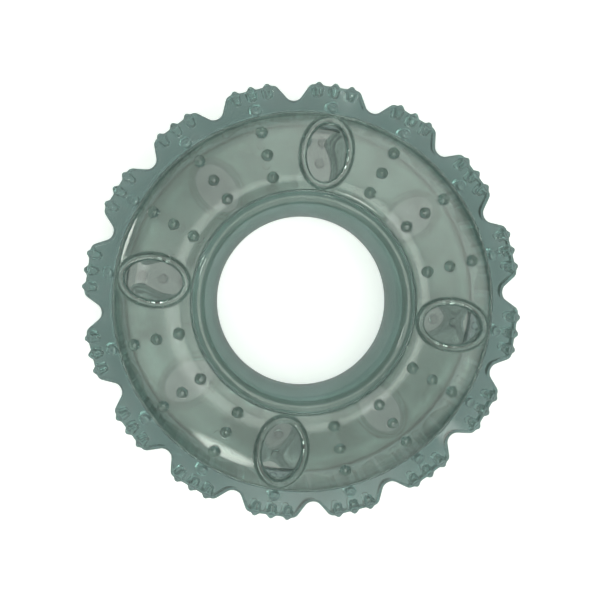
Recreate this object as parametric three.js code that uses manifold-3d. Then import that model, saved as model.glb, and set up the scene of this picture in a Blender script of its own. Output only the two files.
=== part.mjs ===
// A soft treat-dispensing ring: a lobed tread ring and a hub ring joined by two ported sidewalls.
// Millimetres, +Z up. The origin is under the middle of the ring, on the surface that it lies on, and +X
// runs through a port of the upper sidewall.
import * as THREE from 'three';
import { mergeVertices } from 'three/addons/utils/BufferGeometryUtils.js';
import Module from 'manifold-3d';

const wasm = await Module();
wasm.setup();

// Tread ring: its lobes, the valleys between them and its width along the axis
const LOBE_COUNT = 16;
const LOBE_RADIUS = 73.4;
const LOBE_FACE_WIDTH = 16.9;
const VALLEY_DEPTH = 5.6;
const VALLEY_ROUNDING = 3.2;
const TREAD_WIDTH = 36.6;
const EDGE_CHAMFER = 1.8;
const TREAD_DEPTH = 9.5;

// Ribs that run down each lobe and end on both shoulders
const RIBS_PER_LOBE = 3;
const RIB_PITCH = 5.6;
const RIB_WIDTH = 3.0;
const RIB_END_WIDTH = 2.2;
const RIB_PROUD = 1.6;
const RIB_ROOT_SINK = 0.3;
const RIB_RISE = 1.1;
const RIB_WRAP = 4.3;

// Hub ring: its bore, which is narrowest half way up and flares to both ends, its wall and its round lips
const BORE_RADIUS = 29.6;
const BORE_FLARE = 4.1;
const HUB_WALL = 3.6;
const HUB_LIP_WIDTH = 3.5;
const HUB_LIP_RISE = 0.8;
const HUB_LEDGE_TAPER = 7.9;

// Sidewalls: thickness, how far the middle bulges, and the raised dots
const WALL = 2.5;
const WALL_CROWN = 1.1;
const CROWN_FLAT_SHARE = 0.3;
const DOTS_PER_ROW = 3;
const DOT_EDGE_DISTANCE = 4.55;
const DOT_DIAMETER = 3.8;
const DOT_HEIGHT = 1.4;
const DOT_TOP_SHARE = 0.66;
const DOT_RIM_SHARE = 0.8;
const DOT_ROOT_SHARE = 0.5;
const SHOULDER_DOT_INSET = 1.9;

// Ports: an oval opening whose lip reaches from seam to seam, with a collar inside the chamber
const PORT_COUNT = 4;
const PORT_WIDTH = 13.2;
const LIP_WIDTH = 2.3;
const LIP_RISE = 1.6;
const LIP_ROUNDING = 0.7;
const LIP_MARGIN = 0.1;
const COLLAR_DEPTH = 3.2;

// Seams: each sidewall edge lies on a ledge, with a bead in the gap between the edge and the ring
const CLEARANCE = 0.3;
const BEAD_WIDTH = 0.6;
const LEDGE_SEAT = 1.0;
const LEDGE_THICKNESS = 1.5;
const TREAD_LEDGE_TAPER = 1.8;

// Facets round the axis, round a dot, along an arc of an outline, across a hub lip and round half a port
const RING_SEGMENTS = 40;
const FACETS_PER_LOBE = 4;
const DOT_SEGMENTS = 6;
const ARC_SEGMENTS = 2;
const HUB_LIP_SEGMENTS = 3;
const PORT_SEGMENTS = 8;
const MERGE_DISTANCE = 1e-4;

// Finish: deep teal rings, paler walls, and dark seams
const RING_COLOUR = 0x5f7f7c;
const RING_ROUGHNESS = 0.3;
const WALL_COLOUR = 0x84938a;
const WALL_ROUGHNESS = 0.25;
const BEAD_COLOUR = 0x41595a;
const BEAD_ROUGHNESS = 0.4;

// Heights are measured from the middle plane of the ring
const shoulder = TREAD_WIDTH / 2;
const crown = shoulder + WALL_CROWN;
const lipTop = crown + LIP_RISE;
const ribTop = shoulder + RIB_RISE;
const ledgeTop = shoulder - WALL - CLEARANCE;
const ledgeFoot = ledgeTop - LEDGE_THICKNESS;
const seamGap = BEAD_WIDTH + 2 * CLEARANCE;
const treadInnerRadius = LOBE_RADIUS - TREAD_DEPTH;
const boreLipRadius = BORE_RADIUS + BORE_FLARE;
const hubRadius = boreLipRadius + HUB_LIP_WIDTH;
const wallOuterRadius = treadInnerRadius - seamGap;
const wallInnerRadius = hubRadius + seamGap;
const wallMiddle = (wallOuterRadius + wallInnerRadius) / 2;
const wallHalfSpan = (wallOuterRadius - wallInnerRadius) / 2;
const lobePitch = (2 * Math.PI) / LOBE_COUNT;
const portPitch = (2 * Math.PI) / PORT_COUNT;

const point = (x, y) => new THREE.Vector2(x, y);

const mirrored = (points) => points.map((p) => point(p.x, -p.y)).reverse();

// A closed solid from a geometry, ready to be joined or cut
function solidOf(geometry) {
  const bare = geometry.clone();
  bare.deleteAttribute('normal');
  bare.deleteAttribute('uv');
  const merged = mergeVertices(bare, MERGE_DISTANCE);
  const mesh = new wasm.Mesh({
    numProp: 3,
    vertProperties: new Float32Array(merged.attributes.position.array),
    triVerts: new Uint32Array(merged.index.array),
  });
  return new wasm.Manifold(mesh);
}

function geometryOf(solid) {
  const mesh = solid.getMesh();
  const geometry = new THREE.BufferGeometry();
  geometry.setAttribute('position', new THREE.BufferAttribute(mesh.vertProperties, 3));
  geometry.setIndex(new THREE.BufferAttribute(mesh.triVerts, 1));
  geometry.computeVertexNormals();
  return geometry;
}

const joined = (body, additions) => additions.reduce((whole, added) => whole.add(added), body);

// A profile of radius and height turned round +Z, with the middle of a facet on +X
function turned(profile, segments = RING_SEGMENTS) {
  return new THREE.LatheGeometry(profile, segments, Math.PI / segments).rotateX(Math.PI / 2);
}

const ringOf = (profile) => turned([...profile, profile[0]]);

// Outline of the tread: flat lobe faces, straight flanks, and a round-bottomed valley between lobes
function lobedOutline() {
  const valleyCentreRadius = LOBE_RADIUS - VALLEY_DEPTH + VALLEY_ROUNDING;
  const axis = point(0, 0);
  const outline = new THREE.Shape();
  outline.moveTo(LOBE_RADIUS, -LOBE_FACE_WIDTH / 2);
  for (let lobe = 0; lobe < LOBE_COUNT; lobe++) {
    const middle = lobe * lobePitch;
    const valley = middle + lobePitch / 2;
    const faceEnd = point(LOBE_RADIUS, LOBE_FACE_WIDTH / 2).rotateAround(axis, middle);
    const centre = point(valleyCentreRadius, 0).rotateAround(axis, valley);
    const toFaceEnd = faceEnd.clone().sub(centre);
    const flankStart = toFaceEnd.angle() - Math.acos(VALLEY_ROUNDING / toFaceEnd.length());
    const sweep = 2 * (flankStart - valley - Math.PI);
    outline.lineTo(faceEnd.x, faceEnd.y);
    outline.absarc(centre.x, centre.y, VALLEY_ROUNDING, flankStart, flankStart - sweep, true);
    const nextFace = point(LOBE_RADIUS, -LOBE_FACE_WIDTH / 2).rotateAround(axis, middle + lobePitch);
    if (lobe < LOBE_COUNT - 1) outline.lineTo(nextFace.x, nextFace.y);
  }
  outline.closePath();
  return outline;
}

// One rib: a drop-shaped bar, pointed outwards, proud of the lobe face and of both shoulders
function rib(angle) {
  const inner = LOBE_RADIUS - RIB_WRAP;
  const rootRadius = LOBE_RADIUS - RIB_ROOT_SINK;
  const outline = new THREE.Shape();
  outline.moveTo(LOBE_RADIUS + RIB_PROUD, 0);
  outline.lineTo(rootRadius, RIB_WIDTH / 2);
  outline.lineTo(inner, RIB_END_WIDTH / 2);
  outline.lineTo(inner, -RIB_END_WIDTH / 2);
  outline.lineTo(rootRadius, -RIB_WIDTH / 2);
  outline.closePath();
  const bar = new THREE.ExtrudeGeometry(outline, { depth: 2 * ribTop, bevelEnabled: false });
  return solidOf(bar.translate(0, 0, -ribTop).rotateZ(angle));
}

// A drum that slopes off the outer corners of the ribs, along the chamfer of the lobes
function ribEnvelope() {
  const tip = LOBE_RADIUS + RIB_PROUD;
  const slope = EDGE_CHAMFER + RIB_RISE;
  const upperHalf = [
    point(tip + slope, ribTop - 2 * slope),
    point(tip - slope, ribTop),
    point(tip - slope, lipTop),
    point(0, lipTop),
  ];
  return turned([...mirrored(upperHalf), ...upperHalf], FACETS_PER_LOBE * LOBE_COUNT);
}

// One raised dot: a low dome whose side runs on below the surface that carries it
function dot(radius, angle, surface) {
  const half = DOT_DIAMETER / 2;
  const root = DOT_HEIGHT * DOT_ROOT_SHARE;
  const rootHalf = half + ((half * (1 - DOT_TOP_SHARE)) / DOT_RIM_SHARE) * DOT_ROOT_SHARE;
  const dome = turned(
    [
      point(0, -root),
      point(rootHalf, -root),
      point(half * DOT_TOP_SHARE, DOT_HEIGHT * DOT_RIM_SHARE),
      point(0, DOT_HEIGHT),
    ],
    DOT_SEGMENTS,
  );
  return solidOf(dome.translate(radius, 0, surface).rotateZ(angle));
}

function treadRing() {
  const disc = new THREE.ExtrudeGeometry(lobedOutline(), {
    depth: TREAD_WIDTH - 2 * EDGE_CHAMFER,
    bevelThickness: EDGE_CHAMFER,
    bevelSize: EDGE_CHAMFER,
    bevelOffset: -EDGE_CHAMFER,
    bevelSegments: 1,
    curveSegments: ARC_SEGMENTS,
  });
  disc.translate(0, 0, EDGE_CHAMFER - shoulder);
  const ledgeRadius = wallOuterRadius - LEDGE_SEAT;
  const upperSide = [
    point(treadInnerRadius, ledgeFoot - TREAD_LEDGE_TAPER),
    point(ledgeRadius, ledgeFoot),
    point(ledgeRadius, ledgeTop),
    point(treadInnerRadius, ledgeTop),
    point(treadInnerRadius, lipTop),
  ];
  const chamber = turned([point(0, -lipTop), ...mirrored(upperSide), ...upperSide, point(0, lipTop)]);
  const additions = [];
  const dotRadius = treadInnerRadius + SHOULDER_DOT_INSET;
  for (let lobe = 0; lobe < LOBE_COUNT; lobe++) {
    const middle = lobe * lobePitch;
    for (let copy = 0; copy < RIBS_PER_LOBE; copy++) {
      const offset = (copy - (RIBS_PER_LOBE - 1) / 2) * RIB_PITCH;
      additions.push(rib(middle + offset / LOBE_RADIUS));
    }
    const upperDot = dot(dotRadius, middle, shoulder);
    additions.push(upperDot, upperDot.rotate([180, 0, 0]));
  }
  const whole = joined(solidOf(disc).subtract(solidOf(chamber)), additions);
  return whole.intersect(solidOf(ribEnvelope()));
}

// The hub: a bore that narrows to the middle, round lips, and a ledge under each sidewall
function hubRing() {
  const boreAt = (height) =>
    BORE_RADIUS + BORE_FLARE * (height / shoulder) ** 2;
  const lipHalf = HUB_LIP_WIDTH / 2;
  const lipMiddle = boreLipRadius + lipHalf;
  const ledgeRadius = wallInnerRadius + LEDGE_SEAT;
  const lipPoints = [];
  for (let step = 0; step <= HUB_LIP_SEGMENTS; step++) {
    const angle = (Math.PI * step) / HUB_LIP_SEGMENTS;
    lipPoints.push(
      point(lipMiddle + lipHalf * Math.cos(angle), shoulder + HUB_LIP_RISE * Math.sin(angle)),
    );
  }
  const upperHalf = [
    point(BORE_RADIUS + HUB_WALL, ledgeFoot - HUB_LEDGE_TAPER),
    point(ledgeRadius, ledgeFoot),
    point(ledgeRadius, ledgeTop),
    point(hubRadius, ledgeTop),
    ...lipPoints,
    point(boreAt(shoulder / 2), shoulder / 2),
  ];
  const narrowest = point(BORE_RADIUS, 0);
  return solidOf(ringOf([...upperHalf, narrowest, ...mirrored(upperHalf)]));
}

// Height of the sidewall's outer face at a radius: flush at both seams, highest half way
function wallHeight(radius) {
  const share = (radius - wallMiddle) / wallHalfSpan;
  return shoulder + WALL_CROWN * (1 - share * share);
}

// An oval tube round a port, from one height to another, with a round rim where a rounding is given
function portTube(opening, thickness, foot, top, rounding = 0) {
  const oval = new THREE.Shape();
  oval.absellipse(0, 0, opening.x + thickness, opening.y + thickness, 0, 2 * Math.PI, false);
  const hole = new THREE.Path();
  hole.absellipse(0, 0, opening.x, opening.y, 0, 2 * Math.PI, true);
  oval.holes.push(hole);
  const tube = new THREE.ExtrudeGeometry(oval, {
    depth: top - foot - 2 * rounding,
    bevelEnabled: rounding > 0,
    bevelThickness: rounding,
    bevelSize: rounding,
    bevelOffset: -rounding,
    bevelSegments: 1,
    curveSegments: PORT_SEGMENTS,
  });
  return tube.translate(wallMiddle, 0, foot + rounding);
}

function sidewall() {
  const across = (share) => wallMiddle + share * wallHalfSpan;
  const faceShares = [1, CROWN_FLAT_SHARE, -CROWN_FLAT_SHARE, -1];
  const face = faceShares.map(across).map((radius) => point(radius, wallHeight(radius)));
  const back = [-1, 0, 1].map(across).map((radius) => point(radius, wallHeight(radius) - WALL));
  let wall = solidOf(ringOf([...back, ...face]));

  // The collar is thinner than the lip, so that it drops past the ledges of both rings
  const collarWall = LIP_WIDTH + LIP_MARGIN - LEDGE_SEAT - CLEARANCE;
  const opening = point(wallHalfSpan - LIP_MARGIN - LIP_WIDTH, PORT_WIDTH / 2);
  const collarFoot = crown - WALL - COLLAR_DEPTH;
  const lip = portTube(opening, LIP_WIDTH, shoulder - WALL / 2, lipTop, LIP_ROUNDING);
  const collar = portTube(opening, collarWall, collarFoot, crown);
  const cutOval = new THREE.Shape();
  cutOval.absellipse(0, 0, opening.x + collarWall / 2, opening.y + collarWall / 2, 0, 2 * Math.PI);
  const cutter = new THREE.ExtrudeGeometry(cutOval, {
    depth: lipTop - collarFoot,
    bevelEnabled: false,
    curveSegments: PORT_SEGMENTS,
  });
  cutter.translate(wallMiddle, 0, collarFoot);
  for (let port = 0; port < PORT_COUNT; port++) {
    const placed = (geometry) => solidOf(geometry.clone().rotateZ(port * portPitch));
    wall = joined(wall.subtract(placed(cutter)), [placed(lip), placed(collar)]);
  }

  const rowSpan = 2 * (wallHalfSpan - DOT_EDGE_DISTANCE);
  const dots = [];
  for (let lobe = 0; lobe < LOBE_COUNT; lobe++) {
    const angle = lobe * lobePitch;
    const fromPort = Math.abs(angle / portPitch - Math.round(angle / portPitch)) * portPitch;
    if (fromPort < lobePitch / 2) continue;
    for (let copy = 0; copy < DOTS_PER_ROW; copy++) {
      const radius = wallMiddle + rowSpan * (copy / (DOTS_PER_ROW - 1) - 0.5);
      dots.push(dot(radius, angle, wallHeight(radius)));
    }
  }
  return joined(wall, dots);
}

// A bond bead fills the gap beside a sidewall's edge, from its ledge up to the shoulder
function bondBead(innerRadius) {
  const foot = ledgeTop + CLEARANCE;
  const outerRadius = innerRadius + BEAD_WIDTH;
  const section = [
    point(innerRadius, foot),
    point(outerRadius, foot),
    point(outerRadius, shoulder),
    point(innerRadius, shoulder),
  ];
  return ringOf(section);
}

function piece(name, geometry, color, roughness) {
  const material = new THREE.MeshStandardMaterial({ color, roughness, metalness: 0 });
  const mesh = new THREE.Mesh(geometry, material);
  mesh.name = name;
  return mesh;
}

const wallGeometry = geometryOf(sidewall());

// A sidewall with the two beads that bond it in
function wallSet(side) {
  const set = new THREE.Group();
  set.add(piece(`${side}_sidewall`, wallGeometry, WALL_COLOUR, WALL_ROUGHNESS));
  const outerBead = bondBead(wallOuterRadius + CLEARANCE);
  const innerBead = bondBead(hubRadius + CLEARANCE);
  set.add(piece(`${side}_outer_bond_bead`, outerBead, BEAD_COLOUR, BEAD_ROUGHNESS));
  set.add(piece(`${side}_inner_bond_bead`, innerBead, BEAD_COLOUR, BEAD_ROUGHNESS));
  return set;
}

const ring = new THREE.Group();
ring.position.z = lipTop;
ring.add(piece('tread_ring', geometryOf(treadRing()), RING_COLOUR, RING_ROUGHNESS));
ring.add(piece('hub_ring', geometryOf(hubRing()), RING_COLOUR, RING_ROUGHNESS));
ring.add(wallSet('upper'));

// The lower sidewall is the same moulding turned over, with its ports half way between the upper ones
const lowerSet = wallSet('lower');
lowerSet.rotation.set(Math.PI, 0, portPitch / 2);
ring.add(lowerSet);

const toy = new THREE.Group();
toy.add(ring);

export default toy;
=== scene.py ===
"""A soft, see-through ring toy: a lobed tread and a hub, joined by two dotted walls with oval ports."""
import math

import bpy
import numpy as np
from mathutils import Matrix, Vector


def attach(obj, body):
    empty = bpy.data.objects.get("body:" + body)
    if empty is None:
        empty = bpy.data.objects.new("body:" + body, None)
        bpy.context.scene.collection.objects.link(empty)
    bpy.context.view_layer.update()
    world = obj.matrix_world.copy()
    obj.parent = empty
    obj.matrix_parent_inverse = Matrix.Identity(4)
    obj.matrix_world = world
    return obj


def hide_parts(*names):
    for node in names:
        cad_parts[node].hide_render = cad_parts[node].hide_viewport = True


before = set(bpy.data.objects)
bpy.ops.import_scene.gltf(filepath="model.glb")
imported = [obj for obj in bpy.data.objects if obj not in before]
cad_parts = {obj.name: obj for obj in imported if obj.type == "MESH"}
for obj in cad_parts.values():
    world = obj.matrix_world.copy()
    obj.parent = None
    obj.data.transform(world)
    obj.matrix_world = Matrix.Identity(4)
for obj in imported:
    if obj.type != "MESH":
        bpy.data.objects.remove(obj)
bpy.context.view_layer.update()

# Sizes in millimetres. Heights are measured from the middle plane of the ring.
MM = 0.001

# Tread: its lobes, the valleys between them, and its shoulders, which slope down to the rim
LOBES = 16
LOBE_RADIUS = 73.4
LOBE_FACE_WIDTH = 16.9
LOBE_CORNER_BLEND = 1.4
VALLEY_DEPTH = 5.6
VALLEY_ROUNDING = 3.2
TREAD_DEPTH = 9.5
SHOULDER = 18.3
SHOULDER_ROUNDING = 1.2
SHOULDER_SLOPE = math.tan(math.radians(17))

# Ribs: three drops on each lobe, from a narrow tip over a wider belly to a round end on the shoulder
RIB_PITCH = 5.6
RIB_TIP_RADIUS = 74.95
RIB_TIP_HALF = 0.8
RIB_BELLY_RADIUS = 73.0
RIB_BELLY_HALF = 1.5
RIB_END_RADIUS = 70.3
RIB_END_HALF = 1.15
RIB_RISE = 1.1
RIB_SLOPE_START = 16.5
RIB_EDGE = 0.8
RIB_FILLET = 0.35

# Hub: its bore, which is narrowest half way up, its wall, and the round lip at each end
BORE_RADIUS = 29.6
BORE_FLARE = 4.1
HUB_LIP_WIDTH = 3.5
HUB_LIP_RISE = 0.5
HUB_WALL = 3.6

# Walls: thickness, how far they stand over the shoulders, and how far their edges drop
WALL = 2.5
WALL_CROWN = 1.1
EDGE_DROP = 0.5

# Raised dots: one on each lobe's shoulder, and a row of three on each wall at every lobe without a port
DOT_RADIUS = 1.75
DOT_HEIGHT = 0.87
SHOULDER_DOT_HEIGHT = 1.3
DOT_ROOT = 1.2
DOT_FILLET = 0.25
DOT_EDGE_DISTANCE = 4.55
SHOULDER_DOT_INSET = 1.9
DOT_PLACES = (-1, 0, 1)
DOT_STATIONS = (-2, -1, 1, 2)

# Ports: an oval opening with a lip outside and a collar inside the chamber
PORTS = 4
PORT_HALF_WIDTH = 6.6
LIP_WIDTH = 2.3
LIP_RISE = 1.6
LIP_EDGE = 0.7
LIP_FILLET = 0.6
LIP_MARGIN = 0.1
COLLAR_WALL = 1.1
COLLAR_DEPTH = 3.2

# Seams: a bead stands in the gap beside each edge of a wall, and the wall's edge is drawn up to it
CLEARANCE = 0.3
BEAD_WIDTH = 0.6
BEAD_AIR = 0.05

# Sizes that follow from those above
CROWN = SHOULDER + WALL_CROWN
LIP_TOP = CROWN + LIP_RISE
RIB_TOP = SHOULDER + RIB_RISE
WALL_FOOT = SHOULDER - WALL
COLLAR_FOOT = CROWN - WALL - COLLAR_DEPTH
SEAM_GAP = BEAD_WIDTH + 2 * CLEARANCE
SEAM_SPREAD = 2 * CLEARANCE - 2 * BEAD_AIR
TREAD_INNER = LOBE_RADIUS - TREAD_DEPTH
HUB_RADIUS = BORE_RADIUS + BORE_FLARE + HUB_LIP_WIDTH
WALL_OUTER = TREAD_INNER - SEAM_GAP
WALL_INNER = HUB_RADIUS + SEAM_GAP
WALL_MIDDLE = (WALL_OUTER + WALL_INNER) / 2
WALL_HALF_SPAN = (WALL_OUTER - WALL_INNER) / 2
PORT_HALF_LENGTH = WALL_HALF_SPAN - LIP_MARGIN - LIP_WIDTH
DOT_PITCH = WALL_HALF_SPAN - DOT_EDGE_DISTANCE
LOBE_PITCH = 2 * math.pi / LOBES
PORT_PITCH = 2 * math.pi / PORTS

# Mesh: the grids' steps and reach, how points settle on the surface, and points along turned profiles
STEPS_ROUND = 880
FINE = 0.5
COARSE = 4.0
DOT_STEP = 0.33
WALL_STEP = 1.2
DOT_REACH = 2.4
PORT_REACH = 10.5
GRID_MARGIN = 1
SETTLE_ROUNDS = 6
SETTLE_REACH = 0.4
SLOPE_STEP = 0.02
LEAST_SLOPE_SQUARED = 0.25
TURN_STEPS = 360
BORE_POINTS = 33
LIP_POINTS = 17
BEAD_POINTS = 9
TINY = 1e-6

# Finish: a clear elastomer whose depth takes out red, with random lighter and darker patches painted into
# its colour as painted inner reflections, and a slightly uneven skin
IOR = 1.5
DEPTH_COLOUR = (0.1, 0.7, 0.62)
SMOOTH = 0.03
SEAM_ROUGHNESS = 0.1
FROST = 0.06
FROST_START = 0.1
FROST_END = 0.6
PAINTED_PATCH_SCALE = 45
PAINTED_PATCH_DETAIL = 2
PAINTED_PATCH_DISTORTION = 1.2
PAINTED_PATCH_RANGE = 0.12
PAINTED_PATCH_DARK_END = 0.3
PAINTED_PATCH_LIGHT_END = 0.7
GRAIN_SCALE = 600
GRAIN_DETAIL = 3
GRAIN_HEIGHT = 0.003

# Camera: its place and aim along the photo's axes, from the ring's axis and the surface that it lies on
PHOTO_TURN = math.radians(8.6)
CAMERA_HEIGHT = 402
CAMERA_LEFT = 17.4
CAMERA_UP = 12.2
AIM_LEFT = 1.4
AIM_UP = 0.95
FOCAL_PIXELS = 1083
FRAME_PIXELS = 600
SENSOR_WIDTH = 36
IMAGE_RIGHT = Vector((math.cos(PHOTO_TURN), math.sin(PHOTO_TURN), 0))
IMAGE_UP = Vector((-math.sin(PHOTO_TURN), math.cos(PHOTO_TURN), 0))

# Ground: its width in metres, the pale floor, and the hidden ground, whose glow is dimmer under the ring as
# a painted shadow
GROUND_WIDTH = 40
GROUND_ROUGHNESS = 0.9
GLOW_COLOUR = (0.94, 1, 0.96)
PALE_SHADE = 0.9
PALE_GLOW = 0.65
HIDDEN_DEPTH = 0.2
SHADED_GLOW = 0.225
OPEN_GLOW = 0.3
SHADE_MIDDLE = 52
SHADE_FULL = 12
SHADE_END = 26

# Sky lights: slope to the right and up in the photo, angles where full and where ended, and strength
LIGHT_COLOUR = (0.97, 1, 0.92)
LIGHT_BOUNCES = 24
LOW_SKY = 0.95
HIGH_SKY = 0.1
SKY_LIGHTS = {
    "pale_horizon": (0, 0, 120, 150, LOW_SKY),
    "dark_above": (0, 0, 78, 86, HIGH_SKY - LOW_SKY),
    "overhead_softbox": (0.04, 0.04, 15, 27, 1.6),
    "overhead_lamp": (0.0, -0.05, 1.5, 5, 2.5),
    "back_right_softbox": (0.15, 0.15, 4, 14, 1.7),
    "front_left_softbox": (-0.09, -0.06, 2, 8, 0.9),
    "front_softbox": (0.12, -0.72, 8, 26, 1.7),
    "right_softbox": (0.42, -0.1, 5, 13, 1.6),
    "left_spot": (-0.42, 0.13, 1.5, 4, 14),
    "front_spot": (-0.05, -0.22, 1, 3, 8),
    "far_left_spot": (-1.0, 0.4, 1, 3, 12),
    "front_right_spot": (0.8, -0.7, 1, 3, 4),
    "back_spot": (0.3, 1.0, 1, 3, 12),
}


# Distance fields: negative inside the material, in millimetres

def join(a, b, fillet):
    """Both bodies, with a fillet where they meet."""
    share = np.maximum(fillet - np.abs(a - b), 0) / fillet
    return np.minimum(a, b) - share * share * fillet / 4


def meet(a, b, edge):
    """What two bodies share, with a rounded edge."""
    return -join(-a, -b, edge)


def rounded_slab(across, up, rounding):
    """An outline carried up to a height, with a rounded edge between side and top."""
    a, b = across + rounding, up + rounding
    return np.minimum(np.maximum(a, b), 0) + np.hypot(np.maximum(a, 0), np.maximum(b, 0)) - rounding


def taper(along, across, start, start_half, end, end_half):
    """A flat shape between two circles on one line, with straight sides that touch both."""
    length = end - start
    sine = (start_half - end_half) / length
    cosine = math.sqrt(1 - sine * sine)
    u, v = along - start, np.abs(across)
    lean = u * cosine - v * sine
    side = u * sine + v * cosine - start_half
    near = np.hypot(u, v) - start_half
    far = np.hypot(u - length, v) - end_half
    return np.where(lean < 0, near, np.where(lean > length * cosine, far, side))


def turned(x, y, angle):
    """The same places, seen along a line at that angle from +X."""
    c, s = math.cos(angle), math.sin(angle)
    return x * c + y * s, y * c - x * s


def folded(x, y, pitch):
    """The same places, all brought to the sector round +X."""
    radius, angle = np.hypot(x, y), np.arctan2(y, x)
    local = angle - np.round(angle / pitch) * pitch
    return radius * np.cos(local), radius * np.sin(local)


def raised_dot(along, across, height, rise):
    """A round dome standing on height 0, with its root below it."""
    sphere = (DOT_RADIUS**2 + rise**2) / (2 * rise)
    dome = np.sqrt(along**2 + across**2 + (height + sphere - rise) ** 2) - sphere
    return np.maximum(dome, -height - DOT_ROOT)


def tread_outline(x, y):
    """The lobed outline: a flat face on each lobe, straight flanks and round-bottomed valleys."""
    valley_radius = LOBE_RADIUS - VALLEY_DEPTH + VALLEY_ROUNDING
    face_end = Vector((LOBE_RADIUS, -LOBE_FACE_WIDTH / 2))
    reach = Matrix.Rotation(LOBE_PITCH / 2, 2) @ face_end - Vector((valley_radius, 0))
    lean = math.atan2(abs(reach.y), reach.x) - math.asin(VALLEY_ROUNDING / reach.length)
    c, s = math.cos(lean), math.sin(lean)
    u, v = turned(x, np.abs(y), LOBE_PITCH / 2)
    u, v = u - valley_radius, np.abs(v)
    notch = np.where(u * c + v * s > 0, v * c - u * s, np.hypot(u, v)) - VALLEY_ROUNDING
    return meet(x - LOBE_RADIUS, -notch, LOBE_CORNER_BLEND)


def rib(along, across, height):
    """One drop-shaped rib: pointed outwards, round inwards, sloped off at its outer end."""
    tip = RIB_TIP_RADIUS - RIB_TIP_HALF
    drop = np.minimum(
        taper(along, across, RIB_END_RADIUS, RIB_END_HALF, RIB_BELLY_RADIUS, RIB_BELLY_HALF),
        taper(along, across, RIB_BELLY_RADIUS, RIB_BELLY_HALF, tip, RIB_TIP_HALF))
    slope = (along - RIB_TIP_RADIUS + height - RIB_SLOPE_START) / math.sqrt(2)
    return meet(rounded_slab(drop, height - RIB_TOP, RIB_EDGE), slope, RIB_FILLET)


def tread_field(x, y, z):
    """The tread ring: lobes, with their ribs and a dot on each shoulder."""
    radius = np.hypot(x, y)
    height = np.abs(z) + SHOULDER_SLOPE * np.maximum(radius - TREAD_INNER, 0)
    x, y = folded(x, y, LOBE_PITCH)
    body = rounded_slab(tread_outline(x, y), height - SHOULDER, SHOULDER_ROUNDING)
    rib_angle = RIB_PITCH / LOBE_RADIUS
    for angle in (-rib_angle, 0, rib_angle):
        body = join(body, rib(*turned(x, y, angle), height), RIB_FILLET)
    dot = raised_dot(x - TREAD_INNER - SHOULDER_DOT_INSET, y, height - SHOULDER, SHOULDER_DOT_HEIGHT)
    body = join(body, dot, DOT_FILLET)
    return np.maximum(body, TREAD_INNER - radius)


def wall_height(radius):
    """Height of the wall's face: level half way and falling off a little to both seams."""
    share = (radius - WALL_MIDDLE) / WALL_HALF_SPAN
    return CROWN - EDGE_DROP * share**4


def oval(along, across):
    """Distance from the rim of a port's opening."""
    a, b = PORT_HALF_LENGTH, PORT_HALF_WIDTH
    level = np.maximum(np.hypot(along / a, across / b), TINY)
    steepness = np.hypot(along / a**2, across / b**2) / level
    return (level - 1) / np.maximum(steepness, TINY)


def band(distance, low, high):
    """Distance from what lies between two values."""
    return np.abs(distance - (low + high) / 2) - (high - low) / 2


def wall_field(x, y, z):
    """The upper wall: a crowned plate with ports, their lips and collars, and rows of dots."""
    radius = np.hypot(x, y)
    face = z - wall_height(radius)
    edges = np.abs(radius - WALL_MIDDLE) - WALL_HALF_SPAN - SEAM_SPREAD
    plate = rounded_slab(edges, band(face, -WALL, 0), CLEARANCE)
    along, across = folded(x, y, PORT_PITCH)
    rim = oval(along - WALL_MIDDLE, across)
    lip = rounded_slab(band(rim, 0, LIP_WIDTH), z - LIP_TOP, LIP_EDGE)
    lip = np.maximum(lip, SHOULDER - WALL / 2 - z)
    collar = rounded_slab(band(rim, 0, COLLAR_WALL), band(z, COLLAR_FOOT, CROWN), CLEARANCE)
    body = join(np.maximum(plate, COLLAR_WALL / 2 - rim), collar, LIP_FILLET)
    body = join(body, lip, LIP_FILLET)
    for station in DOT_STATIONS:
        row_along, row_across = turned(along, across, station * LOBE_PITCH)
        for place in DOT_PLACES:
            spot = WALL_MIDDLE + place * DOT_PITCH
            dot = raised_dot(row_along - spot, row_across, z - wall_height(spot), DOT_HEIGHT)
            body = join(body, dot, DOT_FILLET)
    return body


# Meshes

def spaced(start, *stretches):
    """Places along a line: each stretch gives where it ends and the step up to there."""
    places = [start]
    for end, step in stretches:
        count = max(1, round((end - places[-1]) / step))
        places += list(np.linspace(places[-1], end, count + 1)[1:])
    return np.array(places)


def gradient(field, points):
    """The field's slope at each point."""
    slope = np.empty_like(points)
    for axis in range(3):
        ahead, behind = points.copy(), points.copy()
        ahead[:, axis] += SLOPE_STEP
        behind[:, axis] -= SLOPE_STEP
        slope[:, axis] = (field(*ahead.T) - field(*behind.T)) / (2 * SLOPE_STEP)
    return slope


def cell_points(places, value):
    """The number of each grid cell that the surface passes through, and a point near it in each."""
    corners = [(i, j, k) for i in (0, 1) for j in (0, 1) for k in (0, 1)]
    last_r, last_z = value.shape[1] - 1, value.shape[2] - 1

    def corner(grid, i, j, k):
        """A grid's values at one corner of each cell. The grid closes on itself round the axis."""
        return np.roll(grid, -i, axis=0)[:, j:last_r + j, k:last_z + k]

    inside = value < 0
    count = sum(corner(inside, *c).astype(int) for c in corners)
    mixed = (count > 0) & (count < len(corners))
    cell = np.full(mixed.shape, -1)
    cell[mixed] = np.arange(mixed.sum())
    corner_value = [corner(value, *c)[mixed] for c in corners]
    corner_place = [corner(places, *c)[mixed] for c in corners]
    total = np.zeros_like(corner_place[0])
    crossings = np.zeros(len(total))
    for one, c in enumerate(corners):
        for axis, stride in enumerate((4, 2, 1)):
            if c[axis]:
                continue
            other = one + stride
            d0, d1 = corner_value[one], corner_value[other]
            cut = (d0 < 0) != (d1 < 0)
            share = np.where(cut, d0 / np.where(cut, d0 - d1, 1), 0)[:, None]
            at = corner_place[one] + share * (corner_place[other] - corner_place[one])
            total += np.where(cut[:, None], at, 0)
            crossings += cut
    return cell, total / crossings[:, None]


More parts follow.
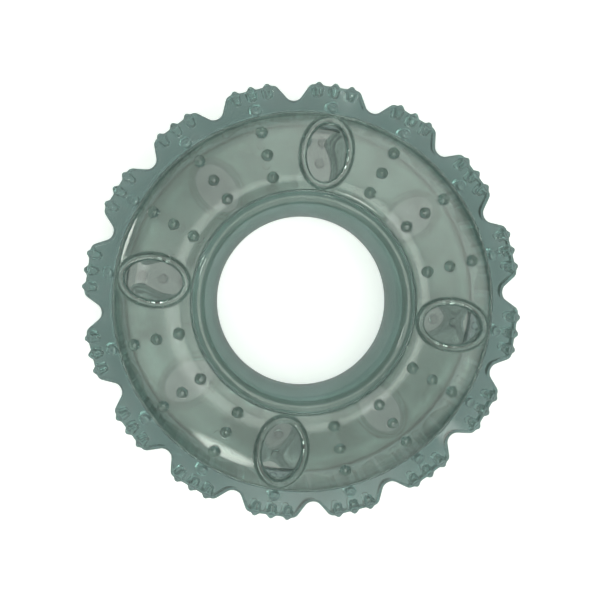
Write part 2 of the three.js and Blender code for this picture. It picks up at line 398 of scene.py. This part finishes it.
def settled(field, points):
    """The points moved onto the surface, along the field's slope."""
    for _ in range(SETTLE_ROUNDS):
        slope = gradient(field, points)
        step = field(*points.T) / np.maximum((slope * slope).sum(axis=1), LEAST_SLOPE_SQUARED)
        points = points - np.clip(step, -SETTLE_REACH, SETTLE_REACH)[:, None] * slope
    return points


def crossing_faces(inside, cell):
    """One face across each grid edge that leaves the material. The grid's outer layers lie outside it."""
    quads = []
    for axis in range(3):
        i, j, k = np.nonzero(inside != np.roll(inside, -1, axis=axis))
        first, second = (axis + 1) % 3, (axis + 2) % 3
        ring = []
        for back_first, back_second in ((1, 1), (0, 1), (0, 0), (1, 0)):
            index = [i, j, k]
            index[first] = index[first] - back_first
            index[second] = index[second] - back_second
            ring.append(cell[index[0] % len(cell), index[1], index[2]])
        ring = np.stack(ring, axis=1)
        quads.append(np.where(inside[i, j, k][:, None], ring[:, ::-1], ring))
    return np.concatenate(quads)


def skin(field, angles, radii, heights):
    """A closed mesh of the place where the field is 0, from a grid round +Z, with exact normals."""
    a, r, z = np.meshgrid(angles, radii, heights, indexing="ij")
    places = np.stack([r * np.cos(a), r * np.sin(a), z], axis=-1)
    value = field(places[..., 0], places[..., 1], places[..., 2])
    cell, points = cell_points(places, value)
    points = settled(field, points)
    normals = gradient(field, points)
    normals /= np.linalg.norm(normals, axis=1)[:, None]
    return points, crossing_faces(value < 0, cell), normals


def revolved(profile):
    """A closed mesh of a profile of radius and height, turned round +Z."""
    points, quads = [], []
    count = len(profile)
    for step in range(TURN_STEPS):
        angle = 2 * math.pi * step / TURN_STEPS
        here, there = step * count, (step + 1) % TURN_STEPS * count
        for index, (radius, height) in enumerate(profile):
            after = (index + 1) % count
            points.append((radius * math.cos(angle), radius * math.sin(angle), height))
            quads.append((here + index, there + index, there + after, here + after))
    return points, quads


def placed(name, material, slot_name, points, quads, normals=None, upside_down=False):
    """A piece in the object's frame, riding on its one body and standing for the node of its name."""
    mesh = bpy.data.meshes.new(name)
    mesh.from_pydata([tuple(p) for p in points], [], [tuple(int(i) for i in q) for q in quads])
    mesh.shade_smooth()
    if normals is not None:
        mesh.normals_split_custom_set_from_vertices([tuple(n) for n in normals])
    mesh.materials.append(material)
    turn = Matrix.Identity(4)
    if upside_down:
        turn = Matrix.Rotation(PORT_PITCH / 2, 4, "Z") @ Matrix.Rotation(math.pi, 4, "X")
    mesh.transform(Matrix.Translation((0, 0, LIP_TOP * MM)) @ Matrix.Scale(MM, 4) @ turn)
    piece = bpy.data.objects.new(name + "_skin", mesh)
    bpy.context.scene.collection.objects.link(piece)
    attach(piece, "root")
    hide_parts(name)


# Materials

def add_node(tree, kind, inputs, **settings):
    """A new shader node, with a link or a value for each input that is given."""
    node = tree.nodes.new("ShaderNode" + kind)
    for name, setting in settings.items():
        setattr(node, name, setting)
    for key, given in inputs.items():
        if isinstance(given, bpy.types.NodeSocket):
            tree.links.new(given, node.inputs[key])
        else:
            node.inputs[key].default_value = given
    return node


def elastomer(name, tint, milk, density, roughness=SMOOTH):
    """A see-through soft plastic with a slightly uneven skin. Milk is the share of it that isn't clear."""
    material = bpy.data.materials.new(name)
    material.use_nodes = True
    tree = material.node_tree
    shader = tree.nodes["Principled BSDF"]
    shader.inputs["IOR"].default_value = IOR
    shader.inputs["Transmission Weight"].default_value = 1 - milk
    shader.inputs["Roughness"].default_value = roughness
    place = add_node(tree, "TexCoord", {}).outputs["Object"]

    # Painted reflection: random lighter and darker patches in the colour stand in for the patchy
    # reflections inside the plastic
    painted_patches = add_node(tree, "TexNoise", {
        "Vector": place, "Scale": PAINTED_PATCH_SCALE, "Detail": PAINTED_PATCH_DETAIL, "Distortion": PAINTED_PATCH_DISTORTION})
    shades = add_node(tree, "ValToRGB", {"Fac": painted_patches.outputs["Fac"]})
    darker, lighter = [tuple(c * share for c in tint) for share in (1 - PAINTED_PATCH_RANGE, 1 + PAINTED_PATCH_RANGE)]
    shades.color_ramp.elements[0].position = PAINTED_PATCH_DARK_END
    shades.color_ramp.elements[0].color = (*darker, 1)
    shades.color_ramp.elements[1].position = PAINTED_PATCH_LIGHT_END
    shades.color_ramp.elements[1].color = (*lighter, 1)
    tree.links.new(shades.outputs["Color"], shader.inputs["Base Color"])

    grain = add_node(tree, "TexNoise", {"Vector": place, "Scale": GRAIN_SCALE, "Detail": GRAIN_DETAIL})
    uneven = add_node(tree, "Bump", {
        "Height": grain.outputs["Fac"], "Strength": 1, "Distance": GRAIN_HEIGHT * MM})
    tree.links.new(uneven.outputs["Normal"], shader.inputs["Normal"])

    depth = add_node(tree, "VolumeAbsorption", {"Color": (*DEPTH_COLOUR, 1), "Density": density})
    tree.links.new(depth.outputs["Volume"], tree.nodes["Material Output"].inputs["Volume"])
    return material


def frost_tread(material):
    """Frosts a material all over the tread, apart from the smooth face inside the chamber."""
    tree = material.node_tree
    place = add_node(tree, "TexCoord", {}).outputs["Object"]
    level = add_node(tree, "VectorMath", {0: place, 1: (1, 1, 0)}, operation="MULTIPLY")
    from_axis = add_node(tree, "VectorMath", {0: level.outputs["Vector"]}, operation="LENGTH")
    frosting = add_node(tree, "MapRange", {
        "Value": from_axis.outputs["Value"],
        "From Min": (TREAD_INNER + FROST_START) * MM, "From Max": (TREAD_INNER + FROST_END) * MM,
        "To Min": SMOOTH, "To Max": FROST})
    tree.links.new(frosting.outputs["Result"], tree.nodes["Principled BSDF"].inputs["Roughness"])


# Pieces

def make_tread():
    material = elastomer("teal_elastomer", tint=(0.86, 1, 0.99), milk=0.07, density=11)
    frost_tread(material)
    rib_foot = WALL_FOOT - TREAD_DEPTH * SHOULDER_SLOPE
    angles = np.arange(STEPS_ROUND) * 2 * math.pi / STEPS_ROUND
    radii = spaced(TREAD_INNER - GRID_MARGIN, (RIB_TIP_RADIUS + GRID_MARGIN, FINE))
    heights = spaced(-RIB_TOP - FINE, (-rib_foot, FINE), (rib_foot, COARSE), (RIB_TOP + FINE, FINE))
    placed("tread_ring", material, "ring", *skin(tread_field, angles, radii, heights))


def wall_grid():
    """The wall's angles, radii and heights, finest at the dots and fine at the ports."""
    row = WALL_MIDDLE * LOBE_PITCH
    half_quarter = spaced(
        0, (PORT_REACH, FINE), (row - DOT_REACH, WALL_STEP), (row + DOT_REACH, DOT_STEP),
        (2 * row - DOT_REACH, WALL_STEP), (2 * row, DOT_STEP))
    quarter = np.concatenate([-half_quarter[:0:-1], half_quarter[:-1]]) / WALL_MIDDLE
    angles = np.concatenate([quarter + port * PORT_PITCH for port in range(PORTS)])
    stretches = []
    for place in DOT_PLACES:
        spot = WALL_MIDDLE + place * DOT_PITCH
        stretches += [(spot - DOT_REACH, FINE), (spot + DOT_REACH, DOT_STEP)]
    stretches.append((WALL_OUTER + GRID_MARGIN, FINE))
    radii = spaced(WALL_INNER - GRID_MARGIN, *stretches)
    heights = spaced(COLLAR_FOOT - GRID_MARGIN, (SHOULDER - DOT_STEP, FINE), (LIP_TOP + DOT_STEP, DOT_STEP))
    return angles, radii, heights


def make_walls():
    material = elastomer("pale_elastomer", tint=(0.53, 0.64, 0.605), milk=0.03, density=10)
    wall = skin(wall_field, *wall_grid())
    placed("upper_sidewall", material, "wall", *wall)
    placed("lower_sidewall", material, "wall", *wall, upside_down=True)


def hub_profile():
    """An even wall round a bore that narrows to the middle, with a round lip at each end."""
    lip_middle = BORE_RADIUS + BORE_FLARE + HUB_LIP_WIDTH / 2
    heights = np.linspace(SHOULDER, -SHOULDER, BORE_POINTS)[1:-1]
    bore = [(BORE_RADIUS + BORE_FLARE * (height / SHOULDER) ** 2, height) for height in heights]
    back = [(radius + HUB_WALL, height) for radius, height in reversed(bore)]
    lip = [
        (lip_middle + HUB_LIP_WIDTH * (0.5 - turn / math.pi), SHOULDER + HUB_LIP_RISE * math.sin(turn))
        for turn in np.linspace(0, math.pi, LIP_POINTS)]
    foot_lip = [(radius, -height) for radius, height in reversed(lip)]
    return lip + bore + foot_lip + back


def make_hub():
    material = elastomer("hub_elastomer", tint=(0.75, 0.97, 0.92), milk=0.18, density=11)
    placed("hub_ring", material, "ring", *revolved(hub_profile()))


def bead_profile(inner):
    """A thin upright strip with a round top and foot, from its inner radius outwards."""
    half = BEAD_WIDTH / 2
    profile = []
    for height, start in ((SHOULDER - half, 0), (WALL_FOOT + half, math.pi)):
        for turn in np.linspace(start, start + math.pi, BEAD_POINTS):
            profile.append((inner + half + half * math.cos(turn), height + half * math.sin(turn)))
    return profile


def make_beads():
    material = elastomer(
        "seam_elastomer", tint=(0.45, 0.56, 0.54), milk=0.1, density=20, roughness=SEAM_ROUGHNESS)
    inner_radii = {"outer": TREAD_INNER - BEAD_AIR - BEAD_WIDTH, "inner": HUB_RADIUS + BEAD_AIR}
    for side in ("upper", "lower"):
        for edge, inner in inner_radii.items():
            strip = revolved(bead_profile(inner))
            placed(f"{side}_{edge}_bond_bead", material, "bead", *strip, upside_down=side == "lower")


# Camera, ground and light

def in_image(right, up, height):
    """A place given along the photo's axes, in millimetres, as a place in the object's frame."""
    return (IMAGE_RIGHT * right + IMAGE_UP * up + Vector((0, 0, height))) * MM


def add_camera():
    """A camera above the ring, a little to the upper left of its axis, as in the photo."""
    data = bpy.data.cameras.new("camera")
    data.sensor_width = SENSOR_WIDTH
    data.lens = SENSOR_WIDTH * FOCAL_PIXELS / FRAME_PIXELS
    camera = bpy.data.objects.new("camera", data)
    bpy.context.scene.collection.objects.link(camera)
    camera.location = in_image(-CAMERA_LEFT, CAMERA_UP, CAMERA_HEIGHT)
    aim = in_image(-AIM_LEFT, AIM_UP, 2 * LIP_TOP)
    back = (camera.location - aim).normalized()
    right = IMAGE_UP.cross(back).normalized()
    up = back.cross(right)
    camera.rotation_euler = Matrix((right, up, back)).transposed().to_euler()
    bpy.context.scene.camera = camera


def ground(name, height, shade, glow):
    """A wide level plane that isn't part of the object."""
    half = GROUND_WIDTH / 2
    corners = [(x, y, height) for x, y in ((-half, -half), (half, -half), (half, half), (-half, half))]
    mesh = bpy.data.meshes.new(name)
    mesh.from_pydata(corners, [], [(0, 1, 2, 3)])
    material = bpy.data.materials.new(name)
    material.use_nodes = True
    shader = material.node_tree.nodes["Principled BSDF"]
    shader.inputs["Base Color"].default_value = (shade, shade, shade, 1)
    shader.inputs["Roughness"].default_value = GROUND_ROUGHNESS
    shader.inputs["Specular IOR Level"].default_value = 0
    shader.inputs["Emission Color"].default_value = (*GLOW_COLOUR, 1)
    shader.inputs["Emission Strength"].default_value = glow
    mesh.materials.append(material)
    plane = bpy.data.objects.new(name, mesh)
    bpy.context.scene.collection.objects.link(plane)
    return plane


def add_ground():
    """A pale floor for the camera, and a dim grey ground with a painted shadow under the ring, which shows
    only through the clear pieces.
    """
    pale_floor = ground("pale_floor", 0, PALE_SHADE, PALE_GLOW)
    pale_floor.visible_diffuse = False
    pale_floor.visible_glossy = False
    pale_floor.visible_transmission = False
    pale_floor.visible_shadow = False
    grey_ground = ground("grey_ground", -HIDDEN_DEPTH * MM, 0, SHADED_GLOW)
    grey_ground.visible_camera = False

    # The hidden ground's glow is painted light and shade: a painted shadow under the ring, and brighter in
    # the bore and round the outside
    tree = grey_ground.data.materials[0].node_tree
    place = add_node(tree, "TexCoord", {}).outputs["Object"]
    from_axis = add_node(tree, "VectorMath", {0: place}, operation="LENGTH")
    from_ring = add_node(
        tree, "Math", {0: from_axis.outputs["Value"], 1: SHADE_MIDDLE * MM}, operation="SUBTRACT")
    either_way = add_node(tree, "Math", {0: from_ring.outputs["Value"]}, operation="ABSOLUTE")
    lit = add_node(tree, "MapRange", {
        "Value": either_way.outputs["Value"], "From Min": SHADE_FULL * MM, "From Max": SHADE_END * MM,
        "To Min": SHADED_GLOW, "To Max": OPEN_GLOW}, interpolation_type="SMOOTHSTEP")
    tree.links.new(lit.outputs["Result"], tree.nodes["Principled BSDF"].inputs["Emission Strength"])


def sky_light(tree, direction, right, up, full, end, strength):
    """A soft-edged round light in the sky, towards a slope given along the photo's axes."""
    towards = in_image(right, up, 1).normalized()
    facing = add_node(tree, "VectorMath", {0: direction, 1: towards}, operation="DOT_PRODUCT")
    edge = add_node(tree, "MapRange", {
        "Value": facing.outputs["Value"], "From Min": math.cos(math.radians(end)),
        "From Max": math.cos(math.radians(full)), "To Max": strength}, interpolation_type="SMOOTHSTEP")
    return edge.outputs["Result"]


def add_sky():
    """A studio sky, pale at the horizon and dark above it: the sum of all its lights."""
    world = bpy.data.worlds.new("studio")
    bpy.context.scene.world = world
    world.use_nodes = True
    tree = world.node_tree
    direction = add_node(tree, "TexCoord", {}).outputs["Generated"]
    first, *others = [sky_light(tree, direction, *light) for light in SKY_LIGHTS.values()]
    brightness = first
    for light in others:
        brightness = add_node(tree, "Math", {0: brightness, 1: light}, operation="ADD").outputs["Value"]
    background = tree.nodes["Background"]
    background.inputs["Color"].default_value = (*LIGHT_COLOUR, 1)
    tree.links.new(brightness, background.inputs["Strength"])


make_tread()
make_walls()
make_hub()
make_beads()
add_camera()
add_ground()
add_sky()

scene = bpy.context.scene
scene.view_settings.view_transform = "Standard"
scene.cycles.max_bounces = LIGHT_BOUNCES
scene.cycles.transmission_bounces = LIGHT_BOUNCES
